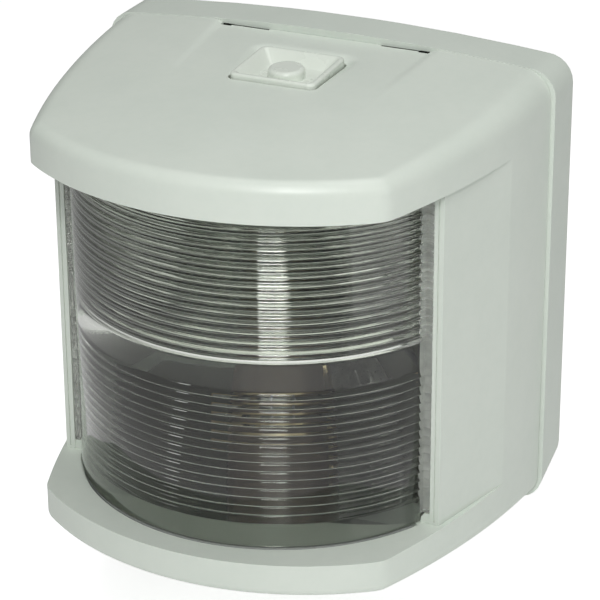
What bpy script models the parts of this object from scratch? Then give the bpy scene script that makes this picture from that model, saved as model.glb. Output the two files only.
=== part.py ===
"""Stern navigation light: back plate, hinged cover with a clear ribbed lens, latch and bayonet lamp.

Frame: X to the right seen from the front, the light shines towards -Y, +Z is up.
Origin: on the mounting plane behind the back plate, on the centre line, level with the
front edge of the cover's underside. All sizes are in metres.
"""

from math import asin, cos, pi, radians, sin

import bmesh
import bpy
from mathutils import Matrix, Vector

# ---- driving dimensions -------------------------------------------------------------
GAP = 0.0003                # between neighbouring pieces
WALL = 0.0020               # moulded wall

PLATE_HALF_WIDTH = 0.0400   # back plate
PLATE_DEPTH = 0.0085
PLATE_TOP = 0.0744
PLATE_BOTTOM = -0.0044
PLATE_BOTTOM_RISE = 0.0030  # the underside rises this much towards the wall
PLATE_CORNER = 0.0045
PLATE_WALL = 0.0024
PLATE_CROWN = 0.38          # radius of its arched top

COVER_REAR = -(PLATE_DEPTH + GAP)
COVER_HALF_WIDTH = 0.0393   # at the rear edge
COVER_CORNER = Vector((0.03013, -0.0541))   # front corner in plan
COVER_FRONT = -0.0648
SIDE_BOW = 0.00188          # bow of the side walls in plan
COVER_TOP = 0.0742          # at the rear edge, on the centre line
COVER_BOTTOM = -0.0040
TOP_SLOPE = 0.0857          # roof falls towards the front
BOTTOM_SLOPE = 0.0714       # floor rises towards the front
ROOF_CROWN = 0.40
FLOOR_CROWN = 0.70
ROOF_THICKNESS = 0.0028
FRONT_FILLET = 0.0024
REAR_FILLET = 0.0050

OPENING_BOTTOM = 0.0056     # lens opening, between bottom tray and visor
OPENING_TOP = 0.0629
SCREEN_FRONT = -0.0404      # front edges of the side walls
FACE_SET_BACK = 0.0002      # lens flanges and stops lie this much behind them
SCREEN_HALF_WIDTH = 0.0338  # the walls lean in to this half width at their front edges
LEAN_REAR = Vector((0.03925, -0.0180))      # where they leave the outline of visor and tray
PASSAGE_HALF_WIDTH = 0.0322 # between the side walls, where the lens goes in
PASSAGE_DEPTH = 0.0030
BEAD_X = 0.0330             # fine bead line on the front edges of the walls
BEAD = 0.00015
DECK = 0.0020               # thickness of the tray's and the visor's inner plates

LENS_CENTRE = -0.0264       # axis of lens and lamp
LENS_RADIUS = 0.0339
LENS_END = -0.0379          # the lens ends behind the fronts of the side walls
FLANGE_INNER = 0.0305       # the lens's end flanges fill the passage from here outwards
STOP_HEIGHT = 0.0017        # small blocks that stop the lens in the corners of the tray
STOP_DEPTH = 0.0034
STOP_INNER = (0.0312, 0.0296)   # their inner sides at the top and at the foot
SLIT = (0.0098, 0.0180)     # ends of the slits at the cover's upper rear edge
LENS_BAND = (0.0326, 0.0366)    # plain band level with the filament
LENS_WALL = 0.0015
RIB_DEPTH = 0.0008
RIB_STEP = 0.0001           # height of the steep side of a rib
UPPER_RIBS = 16
LOWER_RIBS = 15
LOWER_RIBS_FOOT = 0.0098
UPPER_RIBS_HEAD = 0.0616

FLAT_HALF_WIDTH = 0.0187    # recessed flat on the roof
FLAT_DEPTH = 0.0010
FLAT_SLOPE = 0.045
HEAD_SIZE = Vector((0.0148, 0.0131))    # latch head
HEAD_Y = -0.02345
HEAD_TOP = 0.0732
HEAD_RIM = 0.0011
HEAD_TRAY = 0.0011
WINDOW_GAP = 0.00035
WINDOW_CHAMFER = 0.0024
BOSS_RADIUS = 0.00315
TONGUE_HALF_WIDTH = 0.0092
TONGUE_THICKNESS = 0.0015
TONGUE_REAR = -0.0028
LATCH_PIVOT = Vector((0, -0.0040, 0.0694))

HINGE_AXIS = Vector((0, -0.0150, -0.0024))
HINGE_X = 0.0220
HINGE_BAR = 0.0010
CLIP_BORE = 0.0013
CLIP_RADIUS = 0.0026
CLIP_WIDTH = 0.0060

LAMP = Vector((0, LENS_CENTRE, 0.0346))     # filament
SHELF_Z = 0.0049
SHEET = 0.0009
SOCKET_RADIUS = 0.0084
SOCKET_BORE = 0.0079
SOCKET_FOOT = 0.0061
SOCKET_TOP = 0.0240
CAP_RADIUS = 0.0076
CAP_FOOT = 0.0142
CAP_TOP = 0.0262
PIN_RADIUS = 0.0010
PIN_Z = 0.0202
PUSH_TRAVEL = 0.0012
TWIST = radians(25)
GLASS_RADIUS = 0.0090
GLASS_TOP = 0.0485
CONTACT_X = 0.0028
DISC_Z = 0.0115
TERMINAL_X = 0.0170
TERMINAL_Z = 0.0290
MOUNT_X = 0.0290            # mounting screw holes
MOUNT_Z = (0.0130, 0.0590)
MOUNT_RADIUS = 0.0022
CABLE_Z = 0.0500
CABLE_RADIUS = 0.0032

FAR = 0.10                  # longer than any wall a cutter goes through

SIDE_STEPS = 9              # facets of the cover's curved outline
FRONT_STEPS = 10


# ---- scene and helpers --------------------------------------------------------------
def clear_scene():
    for item in list(bpy.data.objects):
        bpy.data.objects.remove(item)


def new_collection(name):
    collection = bpy.data.collections.new(name)
    bpy.context.scene.collection.children.link(collection)
    return collection


def material(name, colour, roughness, metallic=0.0, transmission=0.0):
    made = bpy.data.materials.new(name)
    made.use_nodes = True
    shader = made.node_tree.nodes["Principled BSDF"]
    shader.inputs["Base Color"].default_value = (*colour, 1)
    shader.inputs["Roughness"].default_value = roughness
    shader.inputs["Metallic"].default_value = metallic
    shader.inputs["Transmission Weight"].default_value = transmission
    return made


def object_from(name, shape, finish=None):
    """Turns a bmesh into an object: a part if it has a material, otherwise a cutter."""
    bmesh.ops.recalc_face_normals(shape, faces=shape.faces)
    if shape.calc_volume(signed=True) < 0:
        bmesh.ops.reverse_faces(shape, faces=shape.faces)
    mesh = bpy.data.meshes.new(name)
    shape.to_mesh(mesh)
    shape.free()
    made = bpy.data.objects.new(name, mesh)
    if finish is None:
        CUTTERS.objects.link(made)
        made.hide_render = True
        made.display_type = "WIRE"
        return made
    PARTS.objects.link(made)
    mesh.materials.append(finish)
    mesh.shade_smooth()
    mesh.set_sharp_from_angle(angle=radians(35))
    return made


def box(name, low, high, finish=None, rounding=0.0):
    low, high = Vector(low), Vector(high)
    shape = bmesh.new()
    bmesh.ops.create_cube(shape, size=1)
    size = Matrix.Diagonal((*(high - low), 1))
    shape.transform(Matrix.Translation((low + high) / 2) @ size)
    if rounding:
        bmesh.ops.bevel(shape, geom=shape.edges[:], offset=rounding, segments=2,
                        profile=0.5, affect="EDGES", clamp_overlap=True)
    return object_from(name, shape, finish)


def rod(name, radius, start, end, finish=None, sides=16, top_radius=None):
    """A cylinder, or a cone, from start to end."""
    start, end = Vector(start), Vector(end)
    shape = bmesh.new()
    bmesh.ops.create_cone(shape, cap_ends=True, segments=sides, radius1=radius,
                          radius2=radius if top_radius is None else top_radius,
                          depth=(end - start).length)
    turn = Vector((0, 0, 1)).rotation_difference(end - start).to_matrix().to_4x4()
    shape.transform(Matrix.Translation((start + end) / 2) @ turn)
    return object_from(name, shape, finish)


def boolean(target, tool, operation="DIFFERENCE"):
    step = target.modifiers.new(operation.title() + " " + tool.name, "BOOLEAN")
    step.operation = operation
    step.object = tool
    step.solver = "EXACT"
    return target


def cut(target, *tools):
    for tool in tools:
        boolean(target, tool)
    return target


def join(target, *tools):
    for tool in tools:
        boolean(target, tool, "UNION")
    return target


def turned(name, profile, finish=None, steps=32, centre=(0, LENS_CENTRE)):
    """A turned solid: profile is (radius, z) down the outer side, closed at the axis or on itself."""
    shape = bmesh.new()
    points = [shape.verts.new((radius, 0, z)) for radius, z in profile]
    for a, b in zip(points, points[1:]):
        shape.edges.new((a, b))
    if profile[0][0] > 0 or profile[-1][0] > 0:
        shape.edges.new((points[-1], points[0]))
    mesh = bpy.data.meshes.new(name)
    shape.to_mesh(mesh)
    shape.free()
    made = bpy.data.objects.new(name, mesh)
    made.location = (*centre, 0)
    (PARTS if finish else CUTTERS).objects.link(made)
    screw = made.modifiers.new("Turn", "SCREW")
    screw.axis = "Z"
    screw.steps = steps
    screw.render_steps = steps
    screw.use_merge_vertices = True
    screw.merge_threshold = 0.00001
    screw.use_smooth_shade = True
    if finish:
        mesh.materials.append(finish)
    else:
        made.hide_render = True
        made.display_type = "WIRE"
    return made


def wire(name, points, radius, finish):
    """A round wire through the points, as a capped poly curve."""
    curve = bpy.data.curves.new(name, "CURVE")
    curve.dimensions = "3D"
    curve.bevel_depth = radius
    curve.bevel_resolution = 2
    curve.use_fill_caps = True
    line = curve.splines.new("POLY")
    line.points.add(len(points) - 1)
    for knot, point in zip(line.points, points):
        knot.co = (*point, 1)
    curve.materials.append(finish)
    made = bpy.data.objects.new(name, curve)
    PARTS.objects.link(made)
    return made


def lift_z(height):
    """A point on the lamp's axis."""
    return Vector((0, LENS_CENTRE, height))


# ---- the cover's outside shape ------------------------------------------------------
def roof(x, y):
    return COVER_TOP - TOP_SLOPE * (COVER_REAR - y) - x * x / (2 * ROOF_CROWN)


def floor(x, y):
    return COVER_BOTTOM + BOTTOM_SLOPE * (COVER_REAR - y) + x * x / (2 * FLOOR_CROWN)


def bowed(start, end, bow, steps):
    """Points on a shallow arc from start to end that bows to the right of its direction."""
    start, end = Vector(start), Vector(end)
    along = end - start
    side = Vector((along.y, -along.x)).normalized()
    return [start + along * t + side * (4 * bow * t * (1 - t))
            for t in (i / steps for i in range(steps + 1))]


def half_outline():
    """The cover's plan from the right rear end to the middle of the front."""
    rear = Vector((COVER_HALF_WIDTH, COVER_REAR))
    side = bowed(rear, COVER_CORNER, -SIDE_BOW, SIDE_STEPS)
    rise = COVER_CORNER.y - COVER_FRONT
    radius = (COVER_CORNER.x ** 2 + rise ** 2) / (2 * rise)
    reach = asin(COVER_CORNER.x / radius)
    count = FRONT_STEPS
    front = [Vector((radius * sin(reach * (1 - i / count)),
                     COVER_FRONT + radius * (1 - cos(reach * (1 - i / count)))))
             for i in range(count + 1)]
    before = COVER_CORNER.lerp(side[-2], 0.16)
    after = COVER_CORNER.lerp(front[1], 0.32)
    corner = [before.lerp(COVER_CORNER, t).lerp(COVER_CORNER.lerp(after, t), t)
              for t in (0, 1 / 3, 2 / 3, 1)]
    return side[:-1] + corner + front[1:]


def inward(points, i):
    if i == 0:
        return Vector((-1, 0))
    if i == len(points) - 1:
        return Vector((0, 1))
    along = points[i + 1] - points[i - 1]
    return Vector((along.y, -along.x)).normalized()


def fillet_at(y):
    """The roof's edge rounding grows from the front corner to the rear."""
    share = (y - COVER_CORNER.y) / (COVER_REAR - COVER_CORNER.y)
    return FRONT_FILLET + (REAR_FILLET - FRONT_FILLET) * max(0.0, share)


def housing(name, finish=None, wall=0.0, roof_wall=0.0, floor_wall=0.0, overrun=0.0):
    """The cover's outside as a solid, or its hollow when walls are given.

    Rings of points run round the plan from the right rear end over the front to the left
    rear end. The roof and the floor are strips from side to side.
    """
    half = half_outline()
    outline = [(p + inward(half, i) * wall, inward(half, i)) for i, p in enumerate(half)]
    if overrun:
        first, side = outline[0]
        outline.insert(0, (first + Vector((0, overrun)), side))
    last = len(outline) - 1
    turns = 4
    shape = bmesh.new()

    def ring(angle, upper):
        points = []
        for place, side in outline:
            radius = max(fillet_at(place.y) - wall, 0.0008)
            if not upper:
                radius *= 0.6
            middle = place + side * radius
            at = place + side * radius * (1 - cos(angle))
            if upper:
                z = roof(middle.x, middle.y) - roof_wall - radius * (1 - sin(angle))
            else:
                z = floor(middle.x, middle.y) + floor_wall + radius * (1 - sin(angle))
            points.append((at.x, at.y, z))
        mirrored = [(-x, y, z) for x, y, z in points[-2::-1]]
        return [shape.verts.new(p) for p in points + mirrored]

    angles = [pi / 2 * i / turns for i in range(turns + 1)]
    rings = [ring(a, False) for a in reversed(angles)] + [ring(a, True) for a in angles]
    for lower, upper in zip(rings, rings[1:]):
        for i in range(2 * last):
            shape.faces.new((lower[i], lower[i + 1], upper[i + 1], upper[i]))

    def strips(rim, height):
        columns = 6
        rows = []
        for i in range(last):
            right, left = rim[i], rim[2 * last - i]
            row = [right]
            for k in range(1, columns):
                x = right.co.x + (left.co.x - right.co.x) * k / columns
                row.append(shape.verts.new((x, right.co.y, height(x, right.co.y))))
            rows.append(row + [left])
        for a, b in zip(rows, rows[1:]):
            for k in range(columns):
                shape.faces.new((a[k], a[k + 1], b[k + 1], b[k]))
        for k in range(columns):
            shape.faces.new((rows[-1][k], rows[-1][k + 1], rim[last]))
        return rows[0]

    top = strips(rings[-1], lambda x, y: roof(x, y) - roof_wall)
    base = strips(rings[0], lambda x, y: floor(x, y) + floor_wall)
    right_side = [r[0] for r in rings]
    left_side = [r[-1] for r in rings]
    shape.faces.new(right_side + top[1:-1] + left_side[::-1] + base[-2:0:-1])
    return object_from(name, shape, finish)


# ---- cover, lens and seals ----------------------------------------------------------
def arc_strip(name, inner, outer, low, high, finish=None, reach=radians(64)):
    """A flat strip that follows the lens, cut from a turned ring by a wedge in front."""
    profile = [(outer, high), (outer, low), (inner, low), (inner, high)]
    ring = turned(name, profile, finish, steps=48)
    half = (outer + 0.01) * sin(reach)
    front = box(name + " front half", (-half, -FAR, low - FAR),
                (half, LENS_CENTRE - inner * cos(reach), high + FAR))
    boolean(ring, front, "INTERSECT")
    return ring


def prism(name, outline, low, high, finish=None):
    """An upright prism on a plan outline."""
    shape = bmesh.new()
    face = shape.faces.new([shape.verts.new((x, y, low)) for x, y in outline])
    grown = bmesh.ops.extrude_face_region(shape, geom=[face])
    moved = [g for g in grown["geom"] if isinstance(g, bmesh.types.BMVert)]
    bmesh.ops.translate(shape, verts=moved, vec=(0, 0, high - low))
    return object_from(name, shape, finish)


def lens_opening():
    """Cutter for everything between tray and visor: the open front, the wedges by which the
    side walls lean in, and the passage between the walls."""
    passage_end = SCREEN_FRONT + PASSAGE_DEPTH
    right = [(FAR, -FAR), (FAR, LEAN_REAR.y), tuple(LEAN_REAR), (SCREEN_HALF_WIDTH, SCREEN_FRONT),
             (PASSAGE_HALF_WIDTH, SCREEN_FRONT), (PASSAGE_HALF_WIDTH, passage_end)]
    outline = right + [(-x, y) for x, y in right[::-1]]
    return prism("lens opening", outline, OPENING_BOTTOM, OPENING_TOP)


def roof_flat():
    """Cutter for the recessed flat on the roof around the latch."""
    length = FLAT_DEPTH / (TOP_SLOPE - FLAT_SLOPE) + 0.010
    shape = bmesh.new()
    bmesh.ops.create_cube(shape, size=1)
    for vert in shape.verts:
        front = vert.co.y < 0
        low = vert.co.z < 0
        y = COVER_REAR - length if front else COVER_REAR + 0.002
        vert.co.y = y
        vert.co.x *= 2 * (FLAT_HALF_WIDTH - (0.0025 if front else 0.0))
        vert.co.x += (0.0 if low else 0.0040) * (1 if vert.co.x > 0 else -1)
        base = COVER_TOP - FLAT_DEPTH - FLAT_SLOPE * (COVER_REAR - y)
        vert.co.z = base if low else base + 0.004
    return object_from("roof flat", shape)


def latch_window():
    """Cutters for the square window: a straight hole and a chamfer round its mouth."""
    half = HEAD_SIZE / 2 + Vector((WINDOW_GAP, WINDOW_GAP))
    hole = box("window hole", (-half.x, HEAD_Y - half.y, 0.06), (half.x, HEAD_Y + half.y, 0.09))
    shape = bmesh.new()
    bmesh.ops.create_cube(shape, size=1)
    for vert in shape.verts:
        low = vert.co.z < 0
        grow = 0.0 if low else WINDOW_CHAMFER
        y = HEAD_Y + (half.y + grow) * (1 if vert.co.y > 0 else -1)
        vert.co.x = (half.x + grow) * (1 if vert.co.x > 0 else -1)
        fall = FLAT_SLOPE * (COVER_REAR - y)
        vert.co.z = COVER_TOP - FLAT_DEPTH - fall + (-0.0008 if low else WINDOW_CHAMFER - 0.0008)
        vert.co.y = y
    return hole, object_from("window chamfer", shape)


def make_cover(finish):
    cover = housing("cover", finish)
    hollow = housing("cover hollow", wall=WALL, roof_wall=ROOF_THICKNESS, floor_wall=WALL,
                     overrun=0.003)
    block = box("cover decks", (-FAR, -FAR, OPENING_BOTTOM - DECK),
                (FAR, SCREEN_FRONT + 0.0020, OPENING_TOP + DECK))
    cut(hollow, block)
    cut(cover, hollow, lens_opening(), roof_flat(), *latch_window())
    for side, label in ((-1, "left"), (1, "right")):
        slit = sorted(side * end for end in SLIT)
        x = side * HINGE_X
        cut(cover,
            box("slit " + label, (slit[0], COVER_REAR - 0.0005, 0.07),
                (slit[1], COVER_REAR + 0.001, 0.09)),
            box("screen bead " + label, (side * BEAD_X - BEAD, SCREEN_FRONT - 0.001, OPENING_BOTTOM),
                (side * BEAD_X + BEAD, SCREEN_FRONT + 2 * BEAD, OPENING_TOP)),
            box("clip notch " + label, (x - CLIP_WIDTH / 2 - 0.0005, HINGE_AXIS.y - 0.0031, -0.012),
                (x + CLIP_WIDTH / 2 + 0.0005, 0, 0.0012)))
        bar_half = CLIP_WIDTH / 2 + 0.0022
        join(cover, rod("hinge bar " + label, HINGE_BAR, (x - bar_half, *HINGE_AXIS.yz),
                        (x + bar_half, *HINGE_AXIS.yz)))
    middle = LENS_RADIUS - LENS_WALL / 2
    for low, label in ((OPENING_BOTTOM - 0.0010, "lower"), (OPENING_TOP - 0.0002, "upper")):
        cut(cover, arc_strip("seal groove " + label, middle - 0.0009, middle + 0.0009,
                             low, low + 0.0012))
    for side, label in ((-1, "left"), (1, "right")):
        join(cover, gusset("lens stop " + label, side))
    return cover


def gusset(name, side, grow=0.0):
    """The small sloped block that stops the lens in the corner of the tray and the wall."""
    shape = bmesh.new()
    bmesh.ops.create_cube(shape, size=1)
    for vert in shape.verts:
        outer = vert.co.x * side > 0
        top = vert.co.z > 0
        x = BEAD_X if outer else STOP_INNER[0 if top else 1]
        vert.co.x = side * (x - (0.0 if outer else grow))
        vert.co.y = SCREEN_FRONT + FACE_SET_BACK + (STOP_DEPTH + grow if vert.co.y > 0 else -grow)
        vert.co.z = OPENING_BOTTOM + (STOP_HEIGHT + grow if top else -0.0005)
    return object_from(name, shape)


def lens_profile():
    """Cross-section of the lens: smooth outside, a prism for each rib inside."""
    foot, head = OPENING_BOTTOM + GAP, OPENING_TOP - GAP
    plain = LENS_RADIUS - LENS_WALL
    crest = plain - RIB_DEPTH
    inside = [(plain, head), (plain, UPPER_RIBS_HEAD)]
    pitch = (UPPER_RIBS_HEAD - LENS_BAND[1]) / UPPER_RIBS
    for i in range(UPPER_RIBS):
        z = UPPER_RIBS_HEAD - i * pitch
        inside += [(plain, z - RIB_STEP), (crest, z - pitch)]
    inside.append((crest, LENS_BAND[0]))
    pitch = (LENS_BAND[0] - LOWER_RIBS_FOOT) / LOWER_RIBS
    for i in range(LOWER_RIBS):
        z = LENS_BAND[0] - i * pitch
        inside += [(plain, z - pitch + RIB_STEP), (crest, z - pitch)]
    inside[-1] = (plain, LOWER_RIBS_FOOT)
    inside.append((plain, foot))
    return [(LENS_RADIUS, head), (LENS_RADIUS, foot)] + inside[::-1]


def make_lens(finish):
    lens = turned("lens", lens_profile(), finish, steps=48)
    front = box("lens front", (-FAR, -FAR, -FAR), (FAR, LENS_END, FAR))
    boolean(lens, front, "INTERSECT")
    for side, label in ((-1, "left"), (1, "right")):
        x = sorted((side * FLANGE_INNER, side * (PASSAGE_HALF_WIDTH - GAP)))
        join(lens, box("lens flange " + label,
                       (x[0], SCREEN_FRONT + FACE_SET_BACK, OPENING_BOTTOM + GAP),
                       (x[1], LENS_END - FACE_SET_BACK, OPENING_TOP - GAP)))
        cut(lens, gusset("lens notch " + label, side, grow=GAP))
    return lens


def make_seals(finish):
    middle = LENS_RADIUS - LENS_WALL / 2
    arc_strip("lens_seal_bottom", middle - 0.0006, middle + 0.0006, OPENING_BOTTOM - 0.0007,
              OPENING_BOTTOM, finish, radians(62))
    arc_strip("lens_seal_top", middle - 0.0006, middle + 0.0006, OPENING_TOP,
              OPENING_TOP + 0.0007, finish, radians(62))


# ---- back plate ---------------------------------------------------------------------
def plate_blank(name, inset, front, rear, finish=None):
    """The back plate's outline, arched on top, with its underside rising to the rear."""
    corner = PLATE_CORNER - min(inset, 0.003)
    side = PLATE_HALF_WIDTH - inset
    steps = 6
    shape = bmesh.new()

    def section(y):
        low = PLATE_BOTTOM + inset + PLATE_BOTTOM_RISE * (1 + y / PLATE_DEPTH)
        top = [(x, PLATE_TOP - inset - x * x / (2 * PLATE_CROWN))
               for x in (side * (1 - i / 8) for i in range(17)) if abs(x) <= side - corner]
        edge = PLATE_TOP - inset - (side - corner) ** 2 / (2 * PLATE_CROWN) - corner
        quarter = [pi / 2 * i / steps for i in range(steps + 1)]
        upper = [(side - corner + corner * cos(a), edge + corner * sin(a)) for a in quarter]
        lower = [(side - corner + corner * sin(a), low + corner - corner * cos(a)) for a in quarter]
        right = lower + upper
        return right + top + [(-x, z) for x, z in right[::-1]]

    ends = [[shape.verts.new((x, y, z)) for x, z in section(y)] for y in (front, rear)]
    count = len(ends[0])
    shape.faces.new(ends[0])
    shape.faces.new(ends[1][::-1])
    for i in range(count):
        k = (i + 1) % count
        shape.faces.new((ends[0][i], ends[1][i], ends[1][k], ends[0][k]))
    return object_from(name, shape, finish)


def make_back_plate(finish):
    plate = plate_blank("back_plate", 0, -PLATE_DEPTH, 0, finish)
    cut(plate, plate_blank("plate tray", PLATE_WALL, -PLATE_DEPTH - 0.002, -PLATE_WALL))
    for side, label in ((-1, "left"), (1, "right")):
        for z in MOUNT_Z:
            place = label + f" {z * 1000:.0f}"
            x = side * MOUNT_X
            join(plate, rod("screw pad " + place, 0.0048, (x, -0.0045, z), (x, -0.0010, z)))
            cut(plate, rod("mount hole " + place, MOUNT_RADIUS, (x, -0.02, z), (x, 0.01, z)))
        x = side * TERMINAL_X
        join(plate, rod("terminal post " + label, 0.0036, (x, -0.0070, TERMINAL_Z),
                        (x, -0.0010, TERMINAL_Z)))
        cut(plate, rod("terminal hole " + label, 0.0013, (x, -0.0080, TERMINAL_Z),
                       (x, -0.0030, TERMINAL_Z)))
        x = side * 0.0060
        join(plate, rod("bracket post " + label, 0.0032, (x, -0.0055, 0.0140), (x, -0.0010, 0.0140)))
        cut(plate, rod("bracket hole " + label, 0.0011, (x, -0.0070, 0.0140), (x, -0.0028, 0.0140)))
        x = side * HINGE_X
        half = CLIP_WIDTH / 2
        y, z = HINGE_AXIS.yz
        arm = box("clip arm " + label, (x - half, y - 0.0006, z + CLIP_BORE),
                  (x + half, -0.0020, z + CLIP_RADIUS))
        clip = rod("clip " + label, CLIP_RADIUS, (x - half, y, z), (x + half, y, z), sides=24)
        cut(clip, box("clip mouth " + label, (x - FAR, y - FAR, z - FAR), (x + FAR, y + FAR, z - 0.0009)))
        join(plate, arm, clip)
        cut(plate, rod("clip bore " + label, CLIP_BORE, (x - 0.01, y, z), (x + 0.01, y, z), sides=24))
    cut(plate,
        rod("cable hole", CABLE_RADIUS + 0.0018, (0, -0.01, CABLE_Z), (0, 0.01, CABLE_Z)),
        gasket_groove(),
        tongue_pocket())
    return plate


def gasket_groove():
    ring = plate_blank("gasket groove", 0.0040, -0.0010, 0.002)
    return cut(ring, plate_blank("gasket island", 0.0066, -0.004, 0.004))


def make_gasket(finish):
    gasket = plate_blank("rear_gasket", 0.0043, -0.0007, -0.0001, finish)
    return cut(gasket, plate_blank("gasket middle", 0.0063, -0.004, 0.004))


def tongue_top(y):
    return LATCH_PIVOT.z + TONGUE_THICKNESS / 2 - TOP_SLOPE * (LATCH_PIVOT.y - y)


def tongue_pocket():
    """Slot in the plate's rear wall for the root of the latch tongue."""
    half = TONGUE_HALF_WIDTH - 0.0020 + GAP
    z = tongue_top(TONGUE_REAR)
    return box("tongue pocket", (-half, -0.0100, z - TONGUE_THICKNESS - GAP),
               (half, -0.0012, z + GAP))


def make_grommet(finish):
    inner, neck, flange = CABLE_RADIUS, CABLE_RADIUS + 0.0018 - GAP, CABLE_RADIUS + 0.0034
    z_rear, z_wall, z_lip = -0.0002, -(PLATE_WALL + GAP), -(PLATE_WALL + 0.0016)
    profile = [(neck, z_rear), (neck, z_wall), (flange, z_wall), (flange, z_lip),
               (inner, z_lip), (inner, z_rear)]
    made = turned("cable_grommet", profile, finish, steps=20, centre=(0, 0))
    made.rotation_euler.x = -pi / 2
    made.location = (0, 0, CABLE_Z)
    return made


# ---- latch --------------------------------------------------------------------------
def make_latch(finish):
    front = HEAD_Y - HEAD_SIZE.y / 2
    shape = bmesh.new()
    bmesh.ops.create_cube(shape, size=1)
    for vert in shape.verts:
        y = front - 0.0012 if vert.co.y < 0 else TONGUE_REAR - 0.0009
        vert.co.x *= 2 * TONGUE_HALF_WIDTH
        vert.co.z = tongue_top(y) - (TONGUE_THICKNESS if vert.co.z < 0 else 0)
        vert.co.y = y
    latch = object_from("latch_tongue", shape, finish)
    root_half = TONGUE_HALF_WIDTH - 0.0020
    z = tongue_top(TONGUE_REAR)
    join(latch, box("tongue root", (-root_half, -0.0045, z - TONGUE_THICKNESS),
                    (root_half, -0.0012 - GAP, z)))
    half = HEAD_SIZE / 2
    join(latch, box("latch head", (-half.x, HEAD_Y - half.y, tongue_top(HEAD_Y) - 0.0012),
                    (half.x, HEAD_Y + half.y, HEAD_TOP), rounding=0.0005))
    cut(latch, head_tray())
    join(latch, rod("latch boss", BOSS_RADIUS, (0, HEAD_Y, HEAD_TOP - HEAD_TRAY - 0.001),
                    (0, HEAD_Y, HEAD_TOP + 0.0001), sides=28, top_radius=BOSS_RADIUS - 0.0002))
    tilt_origin(latch, LATCH_PIVOT)
    return latch


def head_tray():
    half = HEAD_SIZE / 2 - Vector((HEAD_RIM, HEAD_RIM))
    shape = bmesh.new()
    bmesh.ops.create_cube(shape, size=1)
    for vert in shape.verts:
        low = vert.co.z < 0
        shrink = 0.0011 if low else 0.0
        vert.co.x = (half.x - shrink) * (1 if vert.co.x > 0 else -1)
        vert.co.y = HEAD_Y + (half.y - shrink) * (1 if vert.co.y > 0 else -1)
        vert.co.z = HEAD_TOP + (-HEAD_TRAY if low else 0.0001)
    return object_from("head tray", shape)


def tilt_origin(item, point):
    """Moves an object's origin to its joint's axis without moving its shape."""
    item.data.transform(Matrix.Translation(-Vector(point)))
    item.location = point


# ---- lamp holder --------------------------------------------------------------------
def make_bracket(finish):
    """A bent strip: a shelf under the socket and a leg up the back plate."""
    front = LENS_CENTRE - 0.0078
    leg_y = -0.0055 - GAP
    bracket = box("socket_bracket", (-0.0100, front, SHELF_Z), (0.0100, leg_y, SHELF_Z + SHEET), finish)
    join(bracket, box("bracket leg", (-0.0100, leg_y - SHEET, SHELF_Z + 0.0001), (0.0100, leg_y, 0.0175)))
    cut(bracket, rod("shelf hole", 0.0062, lift_z(0.0), lift_z(SHELF_Z + 2 * SHEET), sides=28))
    for side, label in ((-1, "left"), (1, "right")):
        x = side * 0.0060
        cut(bracket, rod("leg hole " + label, 0.0014, (x, -0.01, 0.0140), (x, 0.0, 0.0140)))
        screw(f"bracket_screw_{label}", (x, leg_y - SHEET - GAP, 0.0140), 0.0021, 0.0009, 0.0032, STEEL)
    return bracket


def screw(name, place, head_radius, shank, length, finish):
    """A slotted pan-head screw that points to the rear; place is under its head."""
    x, y, z = place
    head = rod(name, head_radius, (x, y - 0.0011, z), (x, y, z), finish, sides=20,
               top_radius=head_radius)
    join(head, rod(name + " shank", shank, (x, y - 0.0003, z), (x, y + length, z), sides=16))
    slot = box(name + " slot", (x - 0.00025, y - 0.003, z - 0.01), (x + 0.00025, y - 0.0007, z + 0.01))
    return cut(head, slot)


def make_socket(finish, insulation):
    profile = [(SOCKET_RADIUS, SOCKET_TOP), (SOCKET_RADIUS, SOCKET_FOOT),
               (SOCKET_BORE, SOCKET_FOOT), (SOCKET_BORE, SOCKET_TOP)]
    shell = turned("socket_shell", profile, finish, steps=32)
    for turn in (0, pi):
        cut(shell, *bayonet_slot(turn))
    plug = turned("socket_insulator",
                  [(SOCKET_BORE - GAP, 0.0077), (SOCKET_BORE - GAP, SOCKET_FOOT + 0.0001),
                   (0, SOCKET_FOOT + 0.0001), (0, 0.0077)], insulation, steps=24)
    for side, label in ((-1, "left"), (1, "right")):
        hole = lift_z(0) + Vector((side * CONTACT_X, 0, 0))
        cut(plug, rod("plug hole " + label, 0.0013, hole, hole + Vector((0, 0, 0.02)), sides=16))
    return shell


def bayonet_slot(turn):
    """Cutters for one slot: straight down from the rim, then round to the lamp pin's seat."""
    half = asin((PIN_RADIUS + 0.0003) / SOCKET_BORE)
    low = PIN_Z - PIN_RADIUS - PUSH_TRAVEL - 0.0003
    high = PIN_Z + PIN_RADIUS + 0.0003

    def sector(label, start, end, z_low, z_high):
        steps = 5
        rim = []
        for radius in (SOCKET_BORE - 0.001, SOCKET_RADIUS + 0.001):
            rim.append([(radius * cos(start + (end - start) * i / steps),
                         LENS_CENTRE + radius * sin(start + (end - start) * i / steps))
                        for i in range(steps + 1)])
        return prism(f"slot {label} {turn:.0f}", rim[0] + rim[1][::-1], z_low, z_high)

    level = sector("level", turn - half, turn + TWIST + half, low, high)
    drop = sector("drop", turn + TWIST - half, turn + TWIST + half, low + 0.0002, SOCKET_TOP + 0.002)
    return level, drop


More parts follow.
